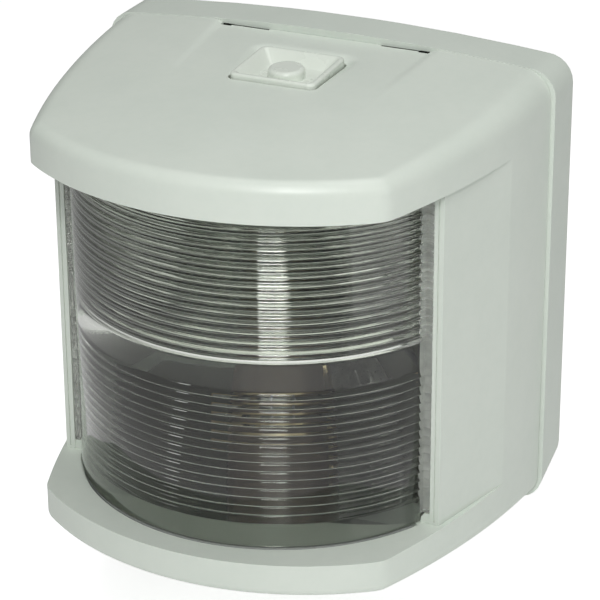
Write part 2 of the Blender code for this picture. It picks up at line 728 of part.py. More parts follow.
def make_contacts(metal, insulation, spring_metal):
    disc = turned("contact_disc",
                  [(SOCKET_BORE - 0.0005, DISC_Z + 0.0013), (SOCKET_BORE - 0.0005, DISC_Z),
                   (0, DISC_Z), (0, DISC_Z + 0.0013)], insulation, steps=24)
    for side, label in ((-1, "left"), (1, "right")):
        foot = lift_z(0.0068) + Vector((side * CONTACT_X, 0, 0))
        tip = lift_z(DISC_Z + 0.0020) + Vector((side * CONTACT_X, 0, 0))
        cut(disc, rod("disc hole " + label, 0.0012, foot, tip + Vector((0, 0, 0.01)), sides=16))
        rod("contact_pin_" + label, 0.0009, foot, tip, metal, sides=16)
    turns, per_turn = 3, 11
    low, high, radius = 0.0077 + 0.0006, DISC_Z - 0.0006, 0.0058
    coil = [Vector((radius * cos(2 * pi * i / per_turn), LENS_CENTRE + radius * sin(2 * pi * i / per_turn),
                    low + (high - low) * i / (turns * per_turn)))
            for i in range(turns * per_turn + 1)]
    wire("contact_spring", coil, 0.00030, spring_metal)


def make_bulb(brass, glass, black, tungsten):
    cap = turned("bulb_cap",
                 [(CAP_RADIUS - 0.0004, CAP_TOP), (CAP_RADIUS, CAP_TOP - 0.0004), (CAP_RADIUS, CAP_FOOT),
                  (CAP_RADIUS - 0.0006, CAP_FOOT), (CAP_RADIUS - 0.0006, CAP_TOP - 0.0008),
                  (CAP_RADIUS - 0.0012, CAP_TOP)], brass, steps=28)
    for side, label in ((-1, "left"), (1, "right")):
        join(cap, rod("bulb pin " + label, PIN_RADIUS, (side * (CAP_RADIUS - 0.0004), LENS_CENTRE, PIN_Z),
                      (side * (CAP_RADIUS + 0.0011), LENS_CENTRE, PIN_Z), sides=16))
    turned("bulb_base",
           [(CAP_RADIUS - 0.0009, 0.0160), (CAP_RADIUS - 0.0009, CAP_FOOT + 0.0001),
            (CAP_RADIUS - 0.0016, CAP_FOOT - 0.0004), (0, CAP_FOOT - 0.0004), (0, 0.0160)],
           black, steps=24)
    make_glass(glass)
    reach = 0.0028
    for side, label in ((-1, "left"), (1, "right")):
        x = side * reach
        foot = lift_z(0.0163) + Vector((side * 0.0018, 0, 0))
        bend = lift_z(0.0290) + Vector((side * 0.0018, 0, 0))
        tip = lift_z(LAMP.z - GAP - 0.0004) + Vector((x, 0, 0))
        wire("filament_lead_" + label, [foot, bend, tip], 0.00022, tungsten)
    turns, per_turn, radius = 5, 6, 0.00045
    start, end = LAMP.x - reach, LAMP.x + reach
    coil = [Vector((start + (end - start) * i / (turns * per_turn),
                    LENS_CENTRE + radius * cos(2 * pi * i / per_turn),
                    LAMP.z + radius * sin(2 * pi * i / per_turn)))
            for i in range(turns * per_turn + 1)]
    wire("filament", coil, 0.00012, tungsten)


def make_glass(glass):
    """A blown glass bulb, open at its neck, which sits inside the cap."""
    wall, neck, shoulder = 0.0006, CAP_RADIUS - 0.0016, CAP_TOP + 0.0030
    crown = GLASS_TOP - GLASS_RADIUS
    arc = [pi / 2 * i / 6 for i in range(7)]
    outside = [(GLASS_RADIUS * sin(a), crown + GLASS_RADIUS * cos(a)) for a in arc]
    outside += [(GLASS_RADIUS, shoulder + 0.0030), (neck, shoulder - 0.0020), (neck, 0.0175)]
    inner = GLASS_RADIUS - wall
    inside = [(inner * sin(a), crown + inner * cos(a)) for a in arc]
    inside += [(inner, shoulder + 0.0030), (neck - wall, shoulder - 0.0020), (neck - wall, 0.0175)]
    return turned("bulb_glass", outside + inside[::-1], glass, steps=24)


# ---- terminals and wiring -----------------------------------------------------------
def make_terminals(brass, steel):
    for side, label in ((-1, "left"), (1, "right")):
        x, y = side * TERMINAL_X, -0.0070 - GAP
        plate = box("terminal_" + label, (x - 0.0032, y - 0.0008, TERMINAL_Z - 0.0045),
                    (x + 0.0032, y, TERMINAL_Z + 0.0032), brass)
        cut(plate, rod("terminal eye " + label, 0.0014, (x, y - 0.01, TERMINAL_Z), (x, 0, TERMINAL_Z)))
        screw("terminal_screw_" + label, (x, y - 0.0008 - GAP, TERMINAL_Z), 0.0024, 0.0010, 0.0042, steel)


def make_lead_wires(finish):
    """A lead from each contact pin, under the shelf and up to its terminal."""
    for side, label in ((-1, "left"), (1, "right")):
        start = lift_z(0.0065 - GAP) + Vector((side * CONTACT_X, 0, 0))
        x = side * TERMINAL_X
        under = 0.0030
        path = [start, start + Vector((0, 0, -0.0012)), start + Vector((0, 0.0008, under - start.z)),
                Vector((side * 0.0050, -0.0200, under)), Vector((side * 0.0125, -0.0110, under)),
                Vector((x, -0.0086, under + 0.0030)), Vector((x, -0.0078, TERMINAL_Z - 0.0090)),
                Vector((x, -0.0076, TERMINAL_Z - 0.0045 - GAP))]
        wire("lead_wire_" + label, path, 0.0007, finish)


# ---- build --------------------------------------------------------------------------
clear_scene()
PARTS = new_collection("navigation_light")
CUTTERS = new_collection("cutters")

WHITE = material("cover_white", (0.60, 0.64, 0.58), 0.32)
WHITE_BACK = material("plate_white", (0.58, 0.62, 0.57), 0.34)
WHITE_LATCH = material("latch_white", (0.62, 0.66, 0.60), 0.30)
CLEAR = material("clear_acrylic", (0.92, 0.94, 0.93), 0.05, transmission=1.0)
GLASS = material("lamp_glass", (0.97, 0.97, 0.97), 0.02, transmission=1.0)
RUBBER = material("black_rubber", (0.03, 0.03, 0.03), 0.8)
SEAL = material("silicone_seal", (0.33, 0.35, 0.33), 0.6)
BRASS = material("lamp_brass", (0.72, 0.55, 0.30), 0.3, metallic=1.0)
STEEL = material("stainless_steel", (0.62, 0.62, 0.60), 0.3, metallic=1.0)
TUNGSTEN = material("tungsten", (0.30, 0.30, 0.31), 0.4, metallic=1.0)
BAKELITE = material("dark_insulation", (0.05, 0.035, 0.03), 0.5)
SLEEVE = material("wire_insulation", (0.06, 0.06, 0.07), 0.5)

make_cover(WHITE)
make_lens(CLEAR)
make_seals(SEAL)
make_back_plate(WHITE_BACK)
make_gasket(RUBBER)
make_grommet(RUBBER)
make_latch(WHITE_LATCH)
make_bracket(STEEL)
make_socket(BAKELITE, BAKELITE)
make_contacts(BRASS, BAKELITE, STEEL)
make_bulb(BRASS, GLASS, BAKELITE, TUNGSTEN)
make_terminals(BRASS, STEEL)
make_lead_wires(SLEEVE)
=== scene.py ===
"""Looks of the stern navigation light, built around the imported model.

The moulded shells, the lens and the bulb are rebuilt as fine meshes with rounded edges. The
small parts of the lamp holder keep their shapes and get softened edges. Sizes are in metres.
"""

from math import acos, asin, atan2, cos, hypot, pi, radians, sin

import bmesh
import bpy
from mathutils import Matrix, Vector


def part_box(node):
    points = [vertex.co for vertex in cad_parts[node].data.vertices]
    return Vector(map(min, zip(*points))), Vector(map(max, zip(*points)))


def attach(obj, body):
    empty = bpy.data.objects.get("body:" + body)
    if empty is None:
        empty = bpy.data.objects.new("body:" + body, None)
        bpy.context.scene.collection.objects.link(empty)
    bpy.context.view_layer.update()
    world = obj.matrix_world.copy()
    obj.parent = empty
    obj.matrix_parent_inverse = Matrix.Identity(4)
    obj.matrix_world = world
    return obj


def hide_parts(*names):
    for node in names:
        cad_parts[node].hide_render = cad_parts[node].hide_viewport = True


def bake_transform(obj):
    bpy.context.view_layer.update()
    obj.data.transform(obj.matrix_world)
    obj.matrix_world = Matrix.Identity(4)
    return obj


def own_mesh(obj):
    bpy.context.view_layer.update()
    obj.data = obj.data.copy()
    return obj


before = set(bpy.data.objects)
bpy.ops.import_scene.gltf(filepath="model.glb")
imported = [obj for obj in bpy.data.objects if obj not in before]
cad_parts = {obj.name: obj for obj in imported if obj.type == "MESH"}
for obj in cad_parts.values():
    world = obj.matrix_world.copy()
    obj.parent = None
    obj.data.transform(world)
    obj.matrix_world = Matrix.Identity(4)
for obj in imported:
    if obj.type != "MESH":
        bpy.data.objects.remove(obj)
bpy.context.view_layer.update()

# ---- sizes taken from the frame -------------------------------------------------------
COVER_LOW, COVER_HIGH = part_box("cover")
PLATE_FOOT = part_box("back_plate")[0].z
LENS_LOW, LENS_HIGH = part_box("lens")
LATCH_LOW, LATCH_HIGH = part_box("latch_tongue")
GLASS_LOW, GLASS_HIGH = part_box("bulb_glass")

# ---- shape of the cover ---------------------------------------------------------------
COVER_REAR = COVER_HIGH.y
COVER_FRONT = COVER_LOW.y
COVER_HALF_WIDTH = COVER_HIGH.x
COVER_CORNER = Vector((0.03013, -0.0541))   # front corner in plan, before rounding
CORNER_REACH = 0.0014                       # how far its rounding runs along each side
SIDE_BOW = 0.00188
COVER_TOP = 0.0742
COVER_BOTTOM = COVER_LOW.z
TOP_SLOPE = 0.0857
BOTTOM_SLOPE = 0.0714
ROOF_CROWN = 0.40
FLOOR_CROWN = 0.70
WALL = 0.0020
ROOF_THICKNESS = 0.0028
FRONT_FILLET = 0.0024
REAR_FILLET = 0.0050
LOWER_FILLET_SHARE = 0.6
LIP_ROUNDING = 0.00040
OPENING_BOTTOM = 0.0056
OPENING_TOP = 0.0629
SCREEN_FRONT = -0.0404
SCREEN_HALF_WIDTH = 0.0338                  # the side walls lean in towards their front edges
LEAN_REAR = Vector((0.03925, -0.0180))      # where they leave the outline of visor and tray
PASSAGE_HALF_WIDTH = 0.0322
PASSAGE_DEPTH = 0.0030
DECK = 0.0020
BEAD_X = 0.0330             # fine bead line on the walls' front faces
BEAD_HALF_WIDTH = 0.00012
FACE_SET_BACK = 0.0002      # depth of the bead; the stops for the lens lie as far back
STOP_HEIGHT = 0.0017        # small blocks that stop the lens in the corners of the tray
STOP_DEPTH = 0.0034
STOP_INNER = (0.0312, 0.0296)               # their inner sides at the top and at the foot
SEAL_HALF_WIDTH = 0.0009    # grooves that hold the lens's seals
SEAL_DEPTH = 0.0010
REAR_REACH = 0.00026        # the cover's upper rear edge comes this much nearer to the plate
THICK_SLIT = (0.0167, 0.0186)               # slits between the cover and the plate
THICK_SLIT_WIDTH = 0.0007
FINE_SLIT = (0.0100, 0.0167)
FINE_SLIT_WIDTH = 0.0003

FLAT_HALF_WIDTH = 0.0187    # recessed flat on the roof
FLAT_TAPER = 0.072          # how fast it narrows towards the front
FLAT_DEPTH = 0.0010
FLAT_SLOPE = 0.045
FLAT_BANK = 0.8             # slope of the banks at its sides
FLAT_BLEND = 0.00055
HEAD_HALF = Vector((0.0074, 0.00655))       # latch head
HEAD_Y = -0.02345
HEAD_TOP = 0.0732
HEAD_CORNER = 0.0012
HEAD_EDGE = 0.0004
HEAD_RIM = 0.0008
TRAY_DEPTH = 0.0020
TRAY_RUN = 0.0019           # width of the tray's sloping sides
BOSS_RADIUS = 0.0030
BOSS_DROP = 0.0002          # the boss ends this much below the rim
BOSS_Y = 0.0004             # its centre, ahead of the head's
WINDOW_GAP = 0.00030
DISH_DEPTH = 0.0009         # dished surround, deepest behind the head
DISH_SLOPE = 0.43
DISH_FRONT_SHARE = 0.20     # its depth in front of the head, as a share of that behind
DISH_BLEND = 0.00025

LENS_CENTRE = -0.0264       # axis of lens and lamp
LENS_RADIUS = 0.0339
LENS_WALL = 0.0015
LENS_BAND = (0.0326, 0.0366)
RIB_DEPTH = 0.00080
RIB_BULGE = 0.00020         # how far a rib's slope bulges
RIB_EASE = 0.00018          # rounding at the crests and between the ribs
FLANGE_Y = -0.0402          # front of the lens's end flanges
FLANGE_END = 0.0321
FLANGE_STEPS = 6            # steps of the turn from the arc to a flange
TURN_STEP = 0.00005
UPPER_RIBS = 16
LOWER_RIBS = 15
LOWER_RIBS_FOOT = 0.0098
UPPER_RIBS_HEAD = 0.0616

HINGE_AXIS = Vector((0, -0.0150, -0.0024))
HINGE_X = 0.0220
HINGE_BAR = 0.0010
CLIP_WIDTH = 0.0060
CLIP_GAP = 0.0005
LATCH_PIVOT_Y = -0.0040
LATCH_PIVOT_Z = 0.0694
TONGUE_THICKNESS = 0.0015
PIN_FOOT = 0.00705          # height of the contact pins' lower ends

FAR = 0.10                  # beyond everything, for cutters
MERGE = 0.000002            # vertices closer than this are one
TOUCH = 0.00001             # a vertex this close to a plane lies on it


# ---- mesh helpers ---------------------------------------------------------------------
def add_object(name, shape, finishes=()):
    """Links a bmesh as an object with outward faces and the given finishes."""
    bmesh.ops.recalc_face_normals(shape, faces=shape.faces)
    if shape.calc_volume(signed=True) < 0:
        bmesh.ops.reverse_faces(shape, faces=shape.faces)
    mesh = bpy.data.meshes.new(name)
    shape.to_mesh(mesh)
    shape.free()
    made = bpy.data.objects.new(name, mesh)
    bpy.context.scene.collection.objects.link(made)
    for finish in finishes:
        mesh.materials.append(finish)
    return made


def carve(target, tools, operation="DIFFERENCE"):
    """Cuts the tools out of target, or joins them to it, and removes the tools."""
    for tool in tools:
        step = target.modifiers.new(tool.name, "BOOLEAN")
        step.operation = operation
        step.object = tool
        step.solver = "EXACT"
        step.material_mode = "TRANSFER"
    bake(target)
    for tool in tools:
        bpy.data.objects.remove(tool)
    return target


def bake(target):
    """Applies all modifiers of an object."""
    graph = bpy.context.evaluated_depsgraph_get()
    done = bpy.data.meshes.new_from_object(target.evaluated_get(graph))
    target.modifiers.clear()
    target.data = done


def round_edges(target, chosen, width, segments=3):
    """Rounds the sharp edges for which chosen(edge) holds."""
    shape = bmesh.new()
    shape.from_mesh(target.data)
    bmesh.ops.remove_doubles(shape, verts=shape.verts, dist=MERGE)
    edges = [e for e in shape.edges
             if len(e.link_faces) == 2 and e.is_convex and e.calc_face_angle() > radians(30) and chosen(e)]
    bmesh.ops.bevel(shape, geom=edges, offset=width, segments=segments, profile=0.5,
                    affect="EDGES", clamp_overlap=True)
    shape.to_mesh(target.data)
    shape.free()


def smooth(target, angle=38):
    """Smooth shading that stays flat on large faces."""
    target.data.shade_smooth()
    target.data.set_sharp_from_angle(angle=radians(angle))
    weighted = target.modifiers.new("Even normals", "WEIGHTED_NORMAL")
    weighted.keep_sharp = True
    return target


def place(piece, body, slot, *nodes):
    """Lets a piece ride on a body and stand for CAD nodes."""
    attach(piece, body)
    if nodes:
        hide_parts(*nodes)
    return piece


def box(name, low, high, finishes=()):
    low, high = Vector(low), Vector(high)
    shape = bmesh.new()
    bmesh.ops.create_cube(shape, size=1)
    shape.transform(Matrix.Translation((low + high) / 2) @ Matrix.Diagonal((*(high - low), 1)))
    return add_object(name, shape, finishes)


def rod(name, radius, start, end, finishes=(), sides=32):
    start, end = Vector(start), Vector(end)
    shape = bmesh.new()
    bmesh.ops.create_cone(shape, cap_ends=True, segments=sides, radius1=radius, radius2=radius,
                          depth=(end - start).length)
    turn = Vector((0, 0, 1)).rotation_difference(end - start).to_matrix().to_4x4()
    shape.transform(Matrix.Translation((start + end) / 2) @ turn)
    return add_object(name, shape, finishes)


def spaced(first, *runs):
    """Numbers from first through each run of (count, end)."""
    values = [first]
    for count, end in runs:
        start = values[-1]
        values += [start + (end - start) * (i + 1) / count for i in range(count)]
    return values


def soft_min(a, b, softness):
    blend = max(softness - abs(a - b), 0.0) / softness
    return min(a, b) - blend * blend * softness / 4


def loft(shape, rings, closed=True):
    """Quads between rings of vertices."""
    for lower, upper in zip(rings, rings[1:]):
        count = len(lower)
        for i in range(count if closed else count - 1):
            k = (i + 1) % count
            shape.faces.new((lower[i], lower[k], upper[k], upper[i]))


# ---- materials ------------------------------------------------------------------------
class Finish:
    """A procedural material under construction."""

    def __init__(self, name, **values):
        self.material = bpy.data.materials.new(name)
        self.material.use_nodes = True
        self.tree = self.material.node_tree
        self.shader = self.tree.nodes["Principled BSDF"]
        self.place = self.node("TexCoord").outputs["Object"]
        for key, value in values.items():
            self.feed(self.shader, key.replace("_", " "), value)

    def feed(self, node, key, value):
        if isinstance(value, bpy.types.NodeSocket):
            self.tree.links.new(value, node.inputs[key])
        else:
            node.inputs[key].default_value = value

    def node(self, kind, inputs=None, **settings):
        made = self.tree.nodes.new("ShaderNode" + kind)
        for key, value in settings.items():
            setattr(made, key, value)
        for key, value in (inputs or {}).items():
            self.feed(made, key, value)
        return made

    def noise(self, size, detail=2.0, roughness=0.5, stretch=(1, 1, 1)):
        """Noise from 0 to 1 with features of the given size in metres."""
        mapped = self.node("Mapping", {"Vector": self.place, "Scale": stretch})
        inputs = {"Vector": mapped.outputs["Vector"], "Scale": 1 / size, "Detail": detail,
                  "Roughness": roughness}
        return self.node("TexNoise", inputs).outputs["Fac"]

    def remap(self, value, low, high, new_low, new_high):
        inputs = {"Value": value, "From Min": low, "From Max": high, "To Min": new_low,
                  "To Max": new_high}
        return self.node("MapRange", inputs).outputs["Result"]

    def mix(self, factor, first, second):
        made = self.node("Mix", data_type="RGBA")
        for index, value in ((0, factor), (6, first), (7, second)):
            if isinstance(value, tuple):
                value = (*value, 1.0)
            self.feed(made, index, value)
        return made.outputs[2]

    def maths(self, operation, first, second):
        return self.node("Math", {0: first, 1: second}, operation=operation).outputs[0]

    def crevices(self, distance, low, high):
        """Rises from 0 in the open to 1 in narrow gaps."""
        open_share = self.node("AmbientOcclusion", {"Distance": distance}, samples=8)
        return self.remap(open_share.outputs["AO"], low, high, 1.0, 0.0)

    def bump(self, height, distance, strength=1.0, below=None):
        inputs = {"Height": height, "Distance": distance, "Strength": strength}
        if below is not None:
            inputs["Normal"] = below
        return self.node("Bump", inputs).outputs["Normal"]


def moulded_plastic(name, colour, shade, gap_shade_tint=(0.26, 0.23, 0.17), roughness=0.36, gap_shade_strength=0.55):
    """Satin moulded plastic: clouded tint, faint sink waves, fine grain and a brown painted shade in its
    narrow gaps.
    """
    finish = Finish(name, IOR=1.49)
    clouds = finish.remap(finish.noise(0.016, 4.0, 0.6), 0.35, 0.65, 0.0, 1.0)
    flecks = finish.remap(finish.noise(0.0016, 3.0, 0.65), 0.42, 0.62, 0.0, 0.35)
    tint = finish.mix(finish.maths("MULTIPLY", finish.maths("ADD", clouds, flecks), 0.75), colour, shade)
    # Painted shade: narrow gaps, found by ambient occlusion, turn towards the brown tint in patches and get
    # rougher.
    patchy = finish.remap(finish.noise(0.0024, 4.0, 0.7), 0.40, 0.66, 0.0, 1.0)
    gap_shade_mask = finish.maths("MULTIPLY", finish.crevices(0.0007, 0.12, 0.45), patchy)
    finish.feed(finish.shader, "Base Color", finish.mix(finish.maths("MULTIPLY", gap_shade_mask, gap_shade_strength), tint, gap_shade_tint))
    sheen = finish.remap(finish.noise(0.007, 4.0, 0.6), 0.3, 0.7, roughness - 0.05, roughness + 0.06)
    finish.feed(finish.shader, "Roughness", finish.maths("ADD", sheen, finish.maths("MULTIPLY", gap_shade_mask, 0.3)))
    waves = finish.bump(finish.noise(0.009, 1.0), 0.00010, 0.35)
    grain = finish.bump(finish.noise(0.00032, 3.0, 0.6), 0.000012, 0.6, waves)
    finish.feed(finish.shader, "Normal", grain)
    return finish.material


def clear_plastic(name, colour, ior, roughness, haze):
    """Clear plastic or glass with a fine haze, some dust and drawn-out flow lines."""
    finish = Finish(name, IOR=ior, Base_Color=(*colour, 1.0), Transmission_Weight=1.0)
    dust = finish.remap(finish.noise(0.0007, 4.0, 0.7), 0.60, 0.72, 0.0, 1.0)
    cloudy = finish.remap(finish.noise(0.010, 3.0, 0.6), 0.40, 0.70, 0.0, 1.0)
    dull = finish.maths("ADD", finish.maths("MULTIPLY", dust, haze),
                        finish.maths("MULTIPLY", cloudy, haze * 0.4))
    finish.feed(finish.shader, "Roughness", finish.maths("ADD", dull, roughness))
    flow = finish.bump(finish.noise(0.006, 1.0, 0.5, (1, 1, 0.3)), 0.00002, 0.2)
    finish.feed(finish.shader, "Normal", flow)
    return finish.material


def glowing_frosted_plastic(name, colour):
    """The lens's end flanges: a pale matt with a faint glow, painted light for their bright look."""
    finish = Finish(name, IOR=1.49, Transmission_Weight=0.25, Emission_Strength=0.07)
    patchy = finish.remap(finish.noise(0.004, 3.0, 0.6), 0.35, 0.65, 0.0, 1.0)
    tint = finish.mix(patchy, colour, tuple(0.75 * c for c in colour))
    finish.feed(finish.shader, "Base Color", tint)
    finish.feed(finish.shader, "Emission Color", tint)
    finish.feed(finish.shader, "Roughness", finish.remap(patchy, 0.0, 1.0, 0.40, 0.65))
    finish.feed(finish.shader, "Normal", finish.bump(finish.noise(0.00025, 2.0), 0.00001, 0.5))
    return finish.material


def metal(name, colour, shade, roughness, brushed=(1, 1, 1)):
    """Metal with drawn-out brush marks and a patchy tarnish."""
    finish = Finish(name, Metallic=1.0)
    tarnish = finish.remap(finish.noise(0.0035, 4.0, 0.65), 0.38, 0.64, 0.0, 1.0)
    gaps = finish.crevices(0.0008, 0.3, 0.8)
    dulled = finish.maths("MAXIMUM", tarnish, gaps)
    finish.feed(finish.shader, "Base Color", finish.mix(dulled, colour, shade))
    strokes = finish.noise(0.00045, 3.0, 0.6, brushed)
    sheen = finish.remap(strokes, 0.3, 0.7, roughness - 0.08, roughness + 0.10)
    finish.feed(finish.shader, "Roughness", sheen)
    finish.feed(finish.shader, "Normal", finish.bump(strokes, 0.00001, 0.5))
    return finish.material


def dull_solid(name, colour, shade, roughness, grain):
    """Rubber, phenolic or cable sleeve: matt, with a moulded grain and pale dust."""
    finish = Finish(name, IOR=1.5)
    clouds = finish.remap(finish.noise(0.004, 4.0, 0.6), 0.35, 0.65, 0.0, 1.0)
    finish.feed(finish.shader, "Base Color", finish.mix(clouds, colour, shade))
    sheen = finish.remap(clouds, 0.0, 1.0, roughness - 0.08, roughness + 0.05)
    finish.feed(finish.shader, "Roughness", sheen)
    finish.feed(finish.shader, "Normal", finish.bump(finish.noise(grain, 3.0, 0.6), 0.00003, 0.6))
    return finish.material


# Each moulded plastic darkens its narrow gaps with painted shade; the plate has only a little of it.
WHITE = moulded_plastic("cover_white", (0.708, 0.765, 0.693), (0.672, 0.734, 0.662))
PLATE_WHITE = moulded_plastic("plate_white", (0.678, 0.735, 0.667), (0.648, 0.709, 0.641),
                              roughness=0.40, gap_shade_strength=0.08)
LATCH_WHITE = moulded_plastic("latch_white", (0.755, 0.805, 0.730), (0.720, 0.775, 0.700),
                              roughness=0.26)
# Painted shade: the insides of the plate and of the cover are dark and mid grey for the shade in the closed
# housing.
INTERIOR_SHADE_GREY = moulded_plastic("interior_shade_grey", (0.120, 0.124, 0.098), (0.085, 0.090, 0.070), roughness=0.5)
COVER_INSIDE_SHADE = moulded_plastic("cover_inside_shade", (0.34, 0.36, 0.32), (0.28, 0.30, 0.27), roughness=0.5)
CLEAR = clear_plastic("clear_acrylic", (0.915, 0.945, 0.885), 1.49, 0.015, 0.08)
FROSTED_GLOW = glowing_frosted_plastic("glowing_matt_flange", (0.86, 0.88, 0.85))
GLASS = clear_plastic("lamp_glass", (0.99, 0.99, 0.985), 1.47, 0.0, 0.03)
BRASS = metal("lamp_brass", (0.62, 0.51, 0.33), (0.40, 0.31, 0.18), 0.32, (1, 1, 6))
STEEL = metal("stainless_steel", (0.66, 0.66, 0.64), (0.48, 0.48, 0.47), 0.32, (1, 8, 1))
TUNGSTEN = metal("tungsten", (0.36, 0.36, 0.37), (0.22, 0.22, 0.23), 0.40)
RUBBER = dull_solid("black_rubber", (0.030, 0.030, 0.032), (0.055, 0.054, 0.052), 0.72, 0.0004)
SEAL = dull_solid("silicone_seal", (0.30, 0.32, 0.30), (0.36, 0.38, 0.36), 0.60, 0.0005)
PHENOLIC = dull_solid("dark_insulation", (0.050, 0.034, 0.026), (0.085, 0.060, 0.045), 0.45, 0.0006)
SLEEVE = dull_solid("wire_insulation", (0.035, 0.036, 0.045), (0.060, 0.060, 0.068), 0.50, 0.0008)


# ---- the cover ------------------------------------------------------------------------
def roof(x, y):
    return COVER_TOP - TOP_SLOPE * (COVER_REAR - y) - x * x / (2 * ROOF_CROWN)


def floor(x, y):
    return COVER_BOTTOM + BOTTOM_SLOPE * (COVER_REAR - y) + x * x / (2 * FLOOR_CROWN)


def flat_height(y):
    return COVER_TOP - FLAT_DEPTH - FLAT_SLOPE * (COVER_REAR - y)


def rounded_distance(x, y, half, corner):
    """Distance of (x, y) from a rounded rectangle round the latch head, negative inside."""
    across = abs(x) - (half.x - corner)
    along = abs(y - HEAD_Y) - (half.y - corner)
    outside = hypot(max(across, 0.0), max(along, 0.0))
    return outside + min(max(across, along), 0.0) - corner


def detailed_roof(x, y):
    """The roof with its recessed flat and the dished surround of the latch."""
    half_width = FLAT_HALF_WIDTH - FLAT_TAPER * (COVER_REAR - y)
    bank = max(0.0, abs(x) - half_width)
    surface = soft_min(roof(x, y), flat_height(y) + FLAT_BANK * bank, FLAT_BLEND)
    away = rounded_distance(x, y, HEAD_HALF, HEAD_CORNER)
    share = min(1.0, max(0.0, (y - HEAD_Y + HEAD_HALF.y) / (2 * HEAD_HALF.y)))
    depth = DISH_DEPTH * (DISH_FRONT_SHARE + (1 - DISH_FRONT_SHARE) * share)
    dish = flat_height(y) - depth + DISH_SLOPE * max(0.0, away)
    return soft_min(surface, dish, DISH_BLEND)


def on_side(t):
    """A point of the bowed side in plan, from the rear at 0 to the front corner at 1."""
    along = COVER_CORNER - Vector((COVER_HALF_WIDTH, COVER_REAR))
    outward = Vector((-along.y, along.x)).normalized()
    return Vector((COVER_HALF_WIDTH, COVER_REAR)) + along * t + outward * (4 * SIDE_BOW * t * (1 - t))


def on_front_corner(p):
    return (p - COVER_CORNER).length <= CORNER_REACH + 0.0002


def half_outline(fine):
    """The cover's plan from the right rear end to the middle of the front."""
    runs = ((6, 0.10), (44, 0.56), (20, 1.0)) if fine else ((10, 1.0),)
    side = [on_side(t) for t in spaced(0.0, *runs)]
    rise = COVER_CORNER.y - COVER_FRONT
    radius = (COVER_CORNER.x ** 2 + rise ** 2) / (2 * rise)
    reach = asin(COVER_CORNER.x / radius)
    count = 30 if fine else 10
    front = [Vector((radius * sin(reach * (1 - i / count)),
                     COVER_FRONT + radius * (1 - cos(reach * (1 - i / count)))))
             for i in range(count + 1)]
    before = COVER_CORNER + (side[-2] - COVER_CORNER).normalized() * CORNER_REACH
    after = COVER_CORNER + (front[1] - COVER_CORNER).normalized() * CORNER_REACH
    turn = 8 if fine else 3
    corner = [before.lerp(COVER_CORNER, i / turn).lerp(COVER_CORNER.lerp(after, i / turn), i / turn)
              for i in range(turn + 1)]
    return ([p for p in side if not on_front_corner(p)] + corner
            + [p for p in front if not on_front_corner(p)])


def inward(points, i):
    """The direction into the cover at a point of its half outline."""
    if i == 0:
        return Vector((-1, 0))
    if i == len(points) - 1:
        return Vector((0, 1))
    along = points[i + 1] - points[i - 1]
    return Vector((along.y, -along.x)).normalized()


def fillet_at(y):
    share = (y - COVER_CORNER.y) / (COVER_REAR - COVER_CORNER.y)
    return FRONT_FILLET + (REAR_FILLET - FRONT_FILLET) * max(0.0, share)


def housing(name, finish, fine=True, wall=0.0, roof_wall=0.0, floor_wall=0.0, overrun=0.0):
    """The cover's outside as a solid, or its hollow when walls are given."""
    half = half_outline(fine)
    outline = [(p + inward(half, i) * wall, inward(half, i)) for i, p in enumerate(half)]
    if overrun:
        first, side = outline[0]
        outline.insert(0, (first + Vector((0, overrun)), side))
    last = len(outline) - 1
    turns = 8 if fine else 4
    least_radius = 0.0008
    shape = bmesh.new()

    def ring(angle, upper):
        points = []
        for spot, side in outline:
            radius = max(fillet_at(spot.y) - wall, least_radius) * (1.0 if upper else LOWER_FILLET_SHARE)
            middle = spot + side * radius
            at = spot + side * radius * (1 - cos(angle))
            rise = radius * (1 - sin(angle))
            if upper:
                z = roof(middle.x, middle.y) - roof_wall - rise
            else:
                z = floor(middle.x, middle.y) + floor_wall + rise
            points.append((at.x, at.y, z))
        mirrored = [(-x, y, z) for x, y, z in points[-2::-1]]
        return [shape.verts.new(p) for p in points + mirrored]

    angles = [pi / 2 * i / turns for i in range(turns + 1)]
    rings = [ring(a, False) for a in reversed(angles)] + [ring(a, True) for a in angles]
    loft(shape, rings, closed=False)
    fine_columns = spaced(-1.0, (8, -0.66), (16, -0.38), (18, -0.24), (20, 0.0))
    columns = fine_columns + [-s for s in fine_columns[-2::-1]] if fine else spaced(-1.0, (8, 1.0))

    def strips(rim, height):
        rows = []
        for i in range(last):
            right, left = rim[i], rim[2 * last - i]
            row = [right]
            for share in columns[1:-1]:
                x = -share * right.co.x
                row.append(shape.verts.new((x, right.co.y, height(x, right.co.y))))
            rows.append(row + [left])
        for a, b in zip(rows, rows[1:]):
            for k in range(len(a) - 1):
                shape.faces.new((a[k], a[k + 1], b[k + 1], b[k]))
        for k in range(len(rows[-1]) - 1):
            shape.faces.new((rows[-1][k], rows[-1][k + 1], rim[last]))
        return rows[0]

    upper_surface = detailed_roof if fine else lambda x, y: roof(x, y) - roof_wall
    top = strips(rings[-1], upper_surface)
    base = strips(rings[0], lambda x, y: floor(x, y) + floor_wall)
    right_side = [r[0] for r in rings]
    left_side = [r[-1] for r in rings]
    shape.faces.new(right_side + top[1:-1] + left_side[::-1] + base[-2:0:-1])
    if fine:
        for vert in shape.verts:
            if vert.co.y > COVER_REAR - TOUCH:
                vert.co.y += REAR_REACH * (vert.co.z - COVER_BOTTOM) / (COVER_TOP - COVER_BOTTOM)
    return add_object(name, shape, (finish,))


def rounded_prism(name, half, corner, low, high, finishes=()):
    """An upright prism on a rounded rectangle round the latch head's centre."""
    shape = bmesh.new()
    rings = [[shape.verts.new((x, y, z)) for x, y in rounded_loop(half, corner)] for z in (low, high)]
    loft(shape, rings)
    shape.faces.new(rings[0])
    shape.faces.new(rings[1])
    return add_object(name, shape, finishes)


